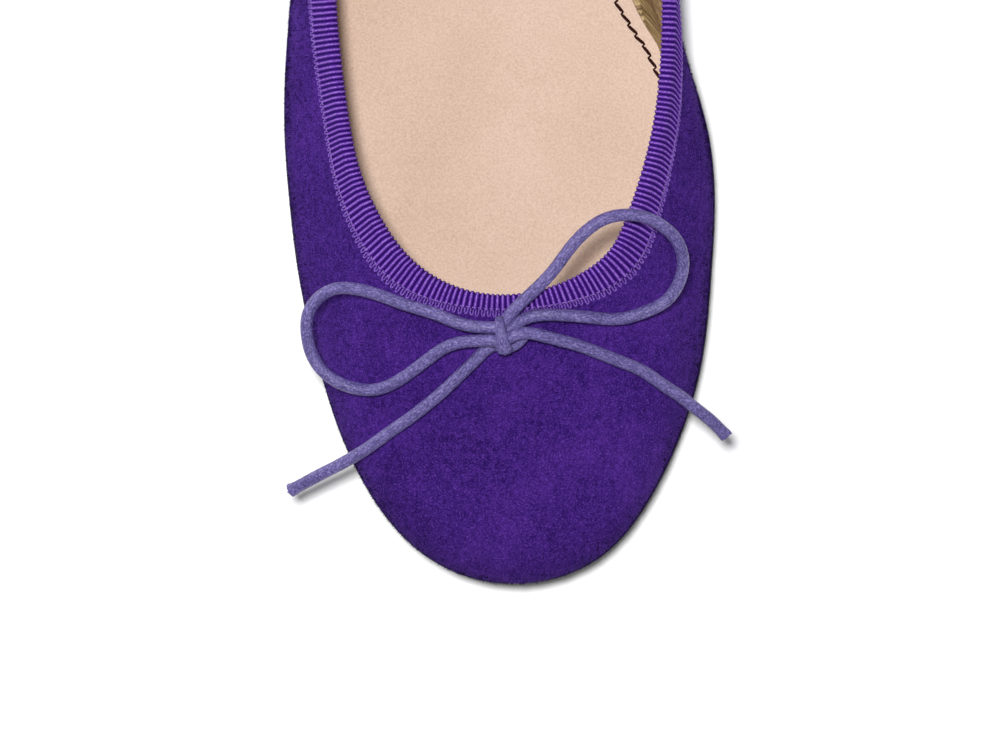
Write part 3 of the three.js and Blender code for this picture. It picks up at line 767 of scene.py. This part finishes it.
def lining_shell(material):
    angle = shell_angles()[:, None]
    t = np.concatenate([np.linspace(0, TURN_SHARE, 12)[:-1], np.linspace(TURN_SHARE, 1, 40)])[None, :]
    outer = wall(angle, t, SUEDE_DEEP * thickness(t) / WALL + LINING_CLEAR)
    inner = wall(angle, t, thickness(t) + 0 * angle)
    out = outward(*np.broadcast_arrays(angle, t))
    level = np.linalg.norm(out[:, 0, :2], axis=-1)
    outer[:, 0] = girth_point(angle[:, 0], TUCK + (SUEDE_DEEP + LINING_CLEAR) / level, GAP)
    inner[:, 0] = girth_point(angle[:, 0], TUCK + WALL / level, GAP)
    share = 0.5 - inner[..., 1] / LENGTH
    place = np.exp(-(((share - WRINKLE_SHARE) / WRINKLE_SPREAD) ** 2)) * (np.sin(angle) > 0)
    waves = np.sin(inner[..., 2] * 2.6 + inner[..., 1] * 0.55 + 2.2 * uneven(inner, 9))
    band = ease((t - 0.12) / 0.15) * (1 - ease((t - 0.75) / 0.2))
    inner -= out * (WRINKLE_DEPTH * place * band * (0.5 + 0.5 * waves))[..., None]
    sections = np.concatenate([outer, inner[:, ::-1]], 1)
    return body("quarter_lining", *hoop(sections), material, "footbed", sharp=50)


lining_material = lining_paint()
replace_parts(suede_shell(suede_paint()), "upper")
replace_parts(lining_shell(lining_material), "upper")

# The ribbed tape folded over the topline, its looped edge and its stitching
RIB = 1.0
RIB_STEPS = 6
PICOT = 1.25  # the looped edge, past the woven part
PICOT_LATERAL = 0.32  # share by which the loops are longer on the outer side
RIB_LOW = 0.5
RIB_HIGH = 0.82
RIB_ROUND = 0.6
SQUARE_LATERAL = 0.95  # how far the ribs run square to the topline rather than down the wall
SQUARE_MEDIAL = -0.5
PICOT_HALF = 0.27
PICOT_STEM = 0.45  # where a loop's legs bend, as a share of its reach
PICOT_CROWN = 0.62  # and where its round end starts
PICOT_UNDER = 0.2  # how far its legs go under the woven part
PICOT_LIFTED = 0.2  # how much of its reach is lifted clear of that part
PICOT_LIFT = 0.15
YARN = 0.155
RIB_WANDER = ((0.12, 0.031), (0.08, 0.113))  # shares of a rib, and the pace of each wave
WOVEN_LEAST = 1.2
# Places across the tape, as shares of its outer and inner widths
LEG_SHARES = (1, 0.985, 0.88, 0.74, 0.6, 0.46, 0.32, 0.18, 0.05)
LAP_SHARES = (0.25, 0.6, 0.97, 1.0)
TAPE_LIFT = 0.02
TAPE_UNDER = 0.03
THREAD_STEP = 1.05
THREAD_BACK = 0.3  # from the woven part's outer edge
THREAD_SHARE = 0.7
THREAD_LONGEST = 1.2
THREAD_HIGH = 0.8
THREAD_DIP = 0.5
THREAD_RADIUS = 0.11


def tape_width(angle):
    return TAPE_OUTSIDE * topline_at["tape"](along_topline(angle))


def woven_width(angle):
    return np.maximum(tape_width(angle) - PICOT, WOVEN_LEAST)


def pace_at(angle, t):
    """Millimetres over the wall for each radian round the shoe."""
    nudge = 0.002
    return np.linalg.norm(wall(angle + nudge, t) - wall(angle - nudge, t), axis=-1) / (2 * nudge)


def squared(angle, t):
    """Places down the wall from each angle, moved to run square to the topline: both (n, k)."""
    nudge = 0.002
    middle = angle[:, None] + 0 * t
    way = normalized(topline_point(angle + nudge) - topline_point(angle - nudge))
    aside = np.einsum("nkj,nj->nk", wall(middle, t) - topline_point(angle)[:, None], way)
    square = lerp(SQUARE_LATERAL, SQUARE_MEDIAL, np.clip(np.sin(angle), 0, 1))
    moved = middle - square[:, None] * aside / pace_at(middle, t)
    order = np.argsort(angle % (2 * math.pi))
    known = (angle % (2 * math.pi))[order]
    shares = [np.interp(moved[:, k], known, t[order, k], period=2 * math.pi) for k in range(t.shape[1])]
    return moved, np.stack(shares, 1)


def topline_tape(material):
    ribs = round(even_angles(topline_point, RIB)[1] / RIB)
    angle, _ = even_angles(topline_point, RIB, ribs * RIB_STEPS)
    place = np.arange(len(angle))
    wander = sum(high * np.sin(place * pace) for high, pace in RIB_WANDER)
    phase = place / RIB_STEPS + wander * np.sin(math.pi * place / len(angle))
    ridge = (0.5 - 0.5 * np.cos(2 * math.pi * phase)) ** RIB_ROUND
    base, way, keep = tape_base(angle)
    high = RIB_LOW + (RIB_HIGH - RIB_LOW) * ridge[:, None] * keep
    face = base + way * high[..., None]
    back = (base + way * TAPE_UNDER)[:, [0, 4, 8, 11, 14, 17, 21]]
    sections = np.concatenate([face, back[:, ::-1]], 1)
    # ridge, nil at the tape's edges, also colours the tape: painted shade in the grooves and painted
    # highlight on the rib tops.
    held = np.concatenate([np.repeat(ridge[:, None], face.shape[1], 1) * keep, 0 * back[..., 0]], 1)
    return body("topline_tape", *hoop(sections), material, "binding", {"ridge": held})


def tape_base(angle):
    """The face that the tape lies on, from its outer edge over the fold to its inner edge."""
    far = GAP + np.array(LEG_SHARES)[None, :] * woven_width(angle)[:, None]
    leg_angle, t = squared(angle, below(angle, far))
    leg = wall(leg_angle, t)
    leg_way = outward(leg_angle, t)
    out, up = outward(angle, np.ones_like(angle)), upward(angle)
    centre = wall(angle, np.ones_like(angle), WALL_EDGE / 2) - up * GAP
    turn = np.linspace(0, math.pi, 9)[None, :, None]
    fold_way = out[:, None] * np.cos(turn) + up[:, None] * np.sin(turn)
    fold = centre[:, None] + fold_way * (WALL_EDGE / 2 + TAPE_LIFT)
    t_in = below(angle, GAP + np.array(LAP_SHARES) * TAPE_INSIDE + np.zeros((len(angle), 1)))
    lap = wall(angle[:, None], t_in, thickness(t_in))
    lap_way = -outward(*np.broadcast_arrays(angle[:, None], t_in))
    base = np.concatenate([leg, fold, lap], 1)
    way = np.concatenate([leg_way, fold_way, lap_way], 1)
    keep = np.ones(base.shape[1])
    keep[[0, -1]] = 0.0
    return base, way, keep[None, :]


def picot_edge(material):
    """Small loops of yarn along the tape's outer edge, one for each rib."""
    ribs = round(even_angles(topline_point, RIB)[1] / RIB)
    middle, _ = even_angles(topline_point, RIB, ribs)
    bend = np.linspace(0, math.pi, 7)
    across = np.concatenate([[-1, -1], -np.cos(bend), [1, 1]]) * PICOT_HALF
    crown = PICOT_CROWN + (1 - PICOT_CROWN) * np.sin(bend)
    reach = np.concatenate([[0, PICOT_STEM], crown, [PICOT_STEM, 0]]) * (PICOT + PICOT_UNDER) - PICOT_UNDER
    jitter = draw.uniform(0.85, 1.1, (ribs, 1))
    longer = 1 + PICOT_LATERAL * np.maximum(0, -np.sin(middle))[:, None]
    far = GAP + woven_width(middle)[:, None] + reach[None, :] * jitter * longer
    pace = pace_at(middle, below(middle, far[:, -1:])[:, 0])
    angle, t = squared(middle, below(middle, far))
    angle = angle + (across[None, :] + draw.uniform(-0.05, 0.05, (ribs, 1))) / pace[:, None]
    path = wall(angle, t, -(YARN + 0.1 + PICOT_LIFT * (reach[None, :] < PICOT_LIFTED)))
    over = outward(angle, t)
    yarn = np.full(path.shape[:-1], YARN)
    sections = tube(path, over, yarn, yarn, 5)
    return body("tape_picots", *many(sections), material, "binding")


def tape_stitching(material):
    line = even_angles(topline_point, THREAD_STEP)[0]
    far = GAP + woven_width(line) - THREAD_BACK
    pace = pace_at(line, below(line, far[:, None])[:, 0])
    step = np.abs(np.diff(np.append(line, line[0] + 2 * math.pi)))
    length = np.minimum(step * pace * THREAD_SHARE, THREAD_LONGEST)
    s = np.linspace(-0.5, 0.5, 9)
    place = line[:, None] + s[None, :] * (length / pace)[:, None]
    t = below(line, far[:, None] + 0 * s[None, :])
    dip = (2 * np.abs(s)) ** 6
    path = wall(place, t, -(THREAD_HIGH - THREAD_DIP * dip)[None, :] + 0 * t)
    size = np.full(path.shape[:-1], THREAD_RADIUS)
    sections = tube(path, outward(place, t), size, size, 6)
    return body("tape_stitching", *many(sections), material, "binding")


tape_material = tape_paint()
picot_yarn = thread_paint("picot yarn", srgb(84, 44, 146), srgb(150, 110, 204))
pale_thread = thread_paint("tape thread", srgb(98, 64, 150), srgb(150, 118, 196))
for piece in (topline_tape(tape_material), picot_edge(picot_yarn), tape_stitching(pale_thread)):
    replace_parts(piece, "topline_binding")

# The insole board and the leather sock on it
SOCK = 1.0
ARCH_INSET = 3.1
ARCH_PEAK = 0.5
ARCH_FRONT = 0.573
ARCH_BACK = 0.24
SOCK_CLEAR = 0.12
SOCK_ROUND = 0.22
SOCK_CROWN = 0.175  # how far its edges turn up
BOARD_ROUND = 0.2
BOARD_SUNK = 0.3
BOARD_WAVE = 0.22
STITCH_IN = 3.2
STITCH_IN_FRONT = 2.25
STITCH = 2.48  # from one stitch to the next
STITCH_SLANT = 0.62  # how far each one's ends lie off the row
STITCH_SHARE = 0.46  # half of a stitch, as a share of its step
STITCH_HIGH = 0.2
STITCH_RADIUS = 0.31
STITCH_ANGLES = (1.0, 1.86)


def beside_wall(angle, height, clear):
    """Points on the lining's inner face at a height above its foot, moved in by clear."""
    t = np.linspace(0, 0.45, 46)
    inner = wall(angle[:, None], t[None, :], thickness(t)[None, :] + 0 * angle[:, None])
    level = np.linalg.norm(outward(angle, 0 * angle)[:, :2], axis=-1)
    inner[:, 0] = girth_point(angle, TUCK + WALL / level, GAP)
    z = inner[:, :1, 2] + height
    at = np.array([[np.interp(goal[0], np.maximum.accumulate(row[:, 2]), row[:, k]) for k in range(3)]
                   for goal, row in zip(z, inner)])
    into = inward(girth_plan, angle)
    at[:, :2] += into * np.asarray(clear)[..., None]
    return at


def arch_inset(share):
    front = np.sin(math.pi / 2 * np.clip((ARCH_FRONT - share) / (ARCH_FRONT - ARCH_PEAK), 0, 1))
    back = np.cos(math.pi / 2 * np.clip((ARCH_PEAK - share) / (ARCH_PEAK - ARCH_BACK), 0, 1)) ** 2
    return ARCH_INSET * np.where(share > ARCH_PEAK, front, back)


def footbed_plate(name, bottom, top, inset, material, rounding, bend):
    """A plate between two heights above the wall's foot, narrower by inset on the medial side."""
    angle = np.linspace(0.02, math.pi - 0.02, 260)
    share = share_at(angle)

    def edges(height, extra):
        left = beside_wall(-angle, height, SOCK_CLEAR + extra + 0 * angle)
        right = beside_wall(angle, height, SOCK_CLEAR + extra + inset(share))
        return left, right

    across = np.concatenate([[0], 0.5 - 0.5 * np.cos(np.linspace(0.12, math.pi - 0.12, 27)), [1]])
    side = ((bottom, 0.0), (top - rounding, 0.0), (top - rounding * 0.3, rounding * 0.3))
    rows = [edges(height, extra) for height, extra in side]
    left, right = edges(top, rounding)
    floor = [lerp(rows[0][0][:, None], rows[0][1][:, None], across[None, ::-1, None])]
    side_left = [rows[1][0][:, None], rows[2][0][:, None]]
    side_right = [rows[2][1][:, None], rows[1][1][:, None]]
    face = lerp(left[:, None], right[:, None], across[None, :, None])
    face[..., 2] += bend(face, across)
    sections = np.concatenate([*floor, *side_left, face, *side_right], 1)
    return body(name, *bar(sections), material, "footbed", sharp=60)


def sock_bend(face, across):
    edge = np.minimum(across, 1 - across)
    return SOCK_CROWN * (1 - ease(edge / 0.12))[None, :] + 0.05 * uneven(face, 14)


def board_bend(face, across):
    share = 0.5 - face[..., 1] / LENGTH
    place = np.exp(-(((share - WRINKLE_SHARE) / 0.1) ** 2)) * (across > 0.62)[None, :]
    waves = np.sin(face[..., 0] * 4.4 - face[..., 1] * 1.1 + 1.5 * uneven(face, 8))
    return BOARD_WAVE * place * waves


sock = footbed_plate("leather_sock", INSOLE - SOCK + 0.05, INSOLE, arch_inset, sock_paint(), SOCK_ROUND,
                     sock_bend)
board = footbed_plate("insole_board", 0, INSOLE - SOCK - BOARD_SUNK, lambda share: 0 * share,
                      lining_material, BOARD_ROUND, board_bend)
for piece in (sock, board):
    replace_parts(piece, "insole")


def sock_stitching(material):
    """One dark thread inside the sock's edge at the arch: slanted stitches joined by short jogs."""
    angle = np.linspace(*STITCH_ANGLES, 900)
    ahead = np.clip((share_at(angle) - ARCH_FRONT + 0.04) / 0.06, 0, 1)
    inset = arch_inset(share_at(angle)) + lerp(STITCH_IN, STITCH_IN_FRONT, ahead)
    line = beside_wall(angle, INSOLE, SOCK_CLEAR + inset)
    run = np.concatenate([[0], np.cumsum(np.linalg.norm(np.diff(line, axis=0), axis=1))])
    count = int(run[-1] / STITCH)
    s = np.linspace(-STITCH_SHARE, STITCH_SHARE, 7)
    dip = (2 * np.abs(s)) ** 4
    at, aside, high, size = [], [], [], []
    for k in range(count):
        off = draw.uniform(-0.08, 0.08)
        at.append((k + 0.5 + s) * STITCH)
        aside.append(STITCH_SLANT * s + off)
        high.append(STITCH_HIGH * (1 - dip))
        size.append(STITCH_RADIUS - 0.1 * dip)
    at, aside, high, size = (np.concatenate(row) for row in (at, aside, high, size))
    point = np.stack([np.interp(at, run, line[:, j]) for j in range(3)], -1)
    way = normalized(np.gradient(point, axis=0))
    point += np.stack([-way[:, 1], way[:, 0], 0 * at], -1) * aside[:, None]
    point[:, 2] += high
    over = np.tile([0.0, 0, 1], (len(at), 1))
    return body("sock_stitching", *bar(tube(point, over, size, size, 8)), material, "footbed")


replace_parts(sock_stitching(thread_paint("sock thread", srgb(30, 6, 4), srgb(58, 18, 12))), "insole")

# The sole and the heel, with the inset and height of each point of their edges from the bottom up
SOLE_EDGE = ((1.02, 0.0), (0.6, 0.06), (0.3, 0.2), (0.08, 0.42), (0, 0.7), (0, 2.8), (0.08, 2.95))
SOLE_TOP_INSET = 0.3
HEEL_EDGE = ((0.35, 0.0), (0.08, 0.12), (0.0, 0.4), (0.0, 2.5), (0.22, 2.65), (0.22, 2.95), (0.0, 3.1))
HEEL_TOP_INSET = 0.15
HEEL_TOP_BEVEL = 0.2


def sole_plate(material):
    angle = np.linspace(0.02, math.pi - 0.02, 300)
    across = np.concatenate([[0], np.linspace(0.02, 0.98, 25), [1]])

    def level(inset, height):
        edge = []
        for side in (-1, 1):
            reach = lerp(SOLE_REACH, SOLE_REACH_LATERAL, np.maximum(0, -np.sin(side * angle)))
            point = girth_point(side * angle, inset - reach, 0)
            point[:, 2] = sole_bottom(point[:, 1]) + height
            edge.append(point)
        return edge

    sides = [level(inset, height) for inset, height in SOLE_EDGE]
    top = level(SOLE_TOP_INSET, SOLE)
    floor = lerp(sides[0][1][:, None], sides[0][0][:, None], across[None, :, None])
    face = lerp(top[0][:, None], top[1][:, None], across[None, :, None])
    sections = np.concatenate([floor, *[s[0][:, None] for s in sides[1:]], face,
                               *[s[1][:, None] for s in sides[:0:-1]]], 1)
    return body("sole", *bar(sections), material, "sole", sharp=40)


def heel_block(material):
    breast = math.acos(1 - 2 * HEEL_LENGTH / LENGTH)
    angle = np.linspace(0.03, breast, 90)
    clear = GAP * 0.4
    top = HEEL_HEIGHT - clear
    across = np.linspace(0, 1, 13)

    def level(extra, height):
        inset = HEEL_INSET + HEEL_TAPER * (1 - height / HEEL_HEIGHT) + extra
        edge = []
        for side in (-1, 1):
            point = girth_point(side * angle, inset + 0 * angle, 0)
            point[:, 2] = (sole_bottom(point[:, 1]) - clear) * height / top
            edge.append(point)
        return edge

    edges = (*HEEL_EDGE, (0.0, top - HEEL_TOP_BEVEL), (HEEL_TOP_INSET, top))
    levels = [level(extra, height) for extra, height in edges]
    floor = lerp(levels[0][1][:, None], levels[0][0][:, None], across[None, :, None])
    face = lerp(levels[-1][0][:, None], levels[-1][1][:, None], across[None, :, None])
    sections = np.concatenate([floor, *[s[0][:, None] for s in levels[1:-1]], face,
                               *[s[1][:, None] for s in levels[-2:0:-1]]], 1)
    return body("heel_block", *bar(sections), material, "heel", sharp=35)


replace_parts(sole_plate(sole_paint()), "outsole")
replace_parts(heel_block(heel_paint()), "heel")

# Short fibres of the suede, which show against the floor
NAP_COUNT = 48000
NAP_LENGTH = 0.75
NAP_RADIUS = 0.07
NAP_LOW = 0.6  # share of the fibres that grow about the widest line
NAP_BAND = (0.1, 0.5)  # how far up the wall those stand
NAP_ROOT = 0.08
NAP_LEAN = 0.75


def suede_nap(material):
    line, _ = even_angles(lambda a: girth_point(a, 0 * a, 0), 1, 3000)
    angle = line[draw.integers(0, len(line), NAP_COUNT)] + draw.uniform(-0.001, 0.001, NAP_COUNT)
    t_hem = below(line, (GAP + tape_width(line))[:, None])[:, 0]
    t_top = np.interp(angle % (2 * math.pi), line, t_hem)
    low = draw.random(NAP_COUNT) < NAP_LOW
    t = np.where(low, draw.uniform(*NAP_BAND, NAP_COUNT), draw.uniform(0.06, 1, NAP_COUNT) * t_top)
    root, out = wall(angle, t, NAP_ROOT), outward(angle, t)
    lean = normalized(draw.normal(size=(NAP_COUNT, 3)))
    way = normalized(out + NAP_LEAN * lean)
    tip = root + way * (NAP_LENGTH * draw.uniform(0.5, 1.1, (NAP_COUNT, 1)))
    side = normalized(np.cross(way, lean + 0.01))
    back = np.cross(way, side)
    turn = np.linspace(0, 2 * math.pi, 3, endpoint=False)
    base = [root + NAP_RADIUS * (side * math.cos(a) + back * math.sin(a)) for a in turn]
    points = np.stack([*base, tip], 1)
    first = 4 * np.arange(NAP_COUNT)[:, None, None]
    faces = first + np.array([[0, 1, 2], [0, 3, 1], [1, 3, 2], [2, 3, 0]])[None]
    return body("suede_nap", points, faces.reshape(-1, 3).tolist(), material, "suede")


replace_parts(suede_nap(nap_paint()), "upper")


# A pale floor and soft studio light: each light's place, size and power
LIGHTS = {
    "key": ((-0.02, 0.02, 1.4), 0.16, 20),
    "side": ((-1.0, 0.55, 0.34), 0.35, 6),
    "fill": ((1.2, -0.5, 0.3), 0.6, 2.5),
}
LIGHT_AIM = (0, -0.03, 0.02)
WORLD_LIGHT = 0.13
FLOOR_HALF = 6.0
FLOOR_DARK = (0.96, 0.96, 0.96, 1)
FLOOR_PALE = (0.98, 0.98, 0.98, 1)


def add_light(name, place, size, power):
    data = bpy.data.lights.new(name, "AREA")
    data.shape = "DISK"
    data.size = size
    data.energy = power
    light = bpy.data.objects.new(name, data)
    light.location = place
    light.rotation_mode = "QUATERNION"
    light.rotation_quaternion = (Vector(LIGHT_AIM) - Vector(place)).to_track_quat("-Z", "Y")
    bpy.context.collection.objects.link(light)


def add_floor():
    mesh = bpy.data.meshes.new("floor")
    corners = ((-1, -1), (1, -1), (1, 1), (-1, 1))
    mesh.from_pydata([(FLOOR_HALF * x, FLOOR_HALF * y, 0) for x, y in corners], [], [(0, 1, 2, 3)])
    paint = Paint("floor", Roughness=0.9, Specular_IOR_Level=0.1)
    paint.colour(paint.ramp(paint.noise(400), (0.3, FLOOR_DARK), (0.7, FLOOR_PALE)))
    mesh.materials.append(paint.material)
    floor = bpy.data.objects.new("floor", mesh)
    bpy.context.collection.objects.link(floor)


add_floor()
for name, light in LIGHTS.items():
    add_light(name, *light)
world = bpy.data.worlds.new("studio")
world.use_nodes = True
background = world.node_tree.nodes["Background"]
background.inputs["Color"].default_value = (1, 1, 1, 1)
background.inputs["Strength"].default_value = WORLD_LIGHT
bpy.context.scene.world = world
bpy.context.scene.view_settings.view_transform = "Standard"
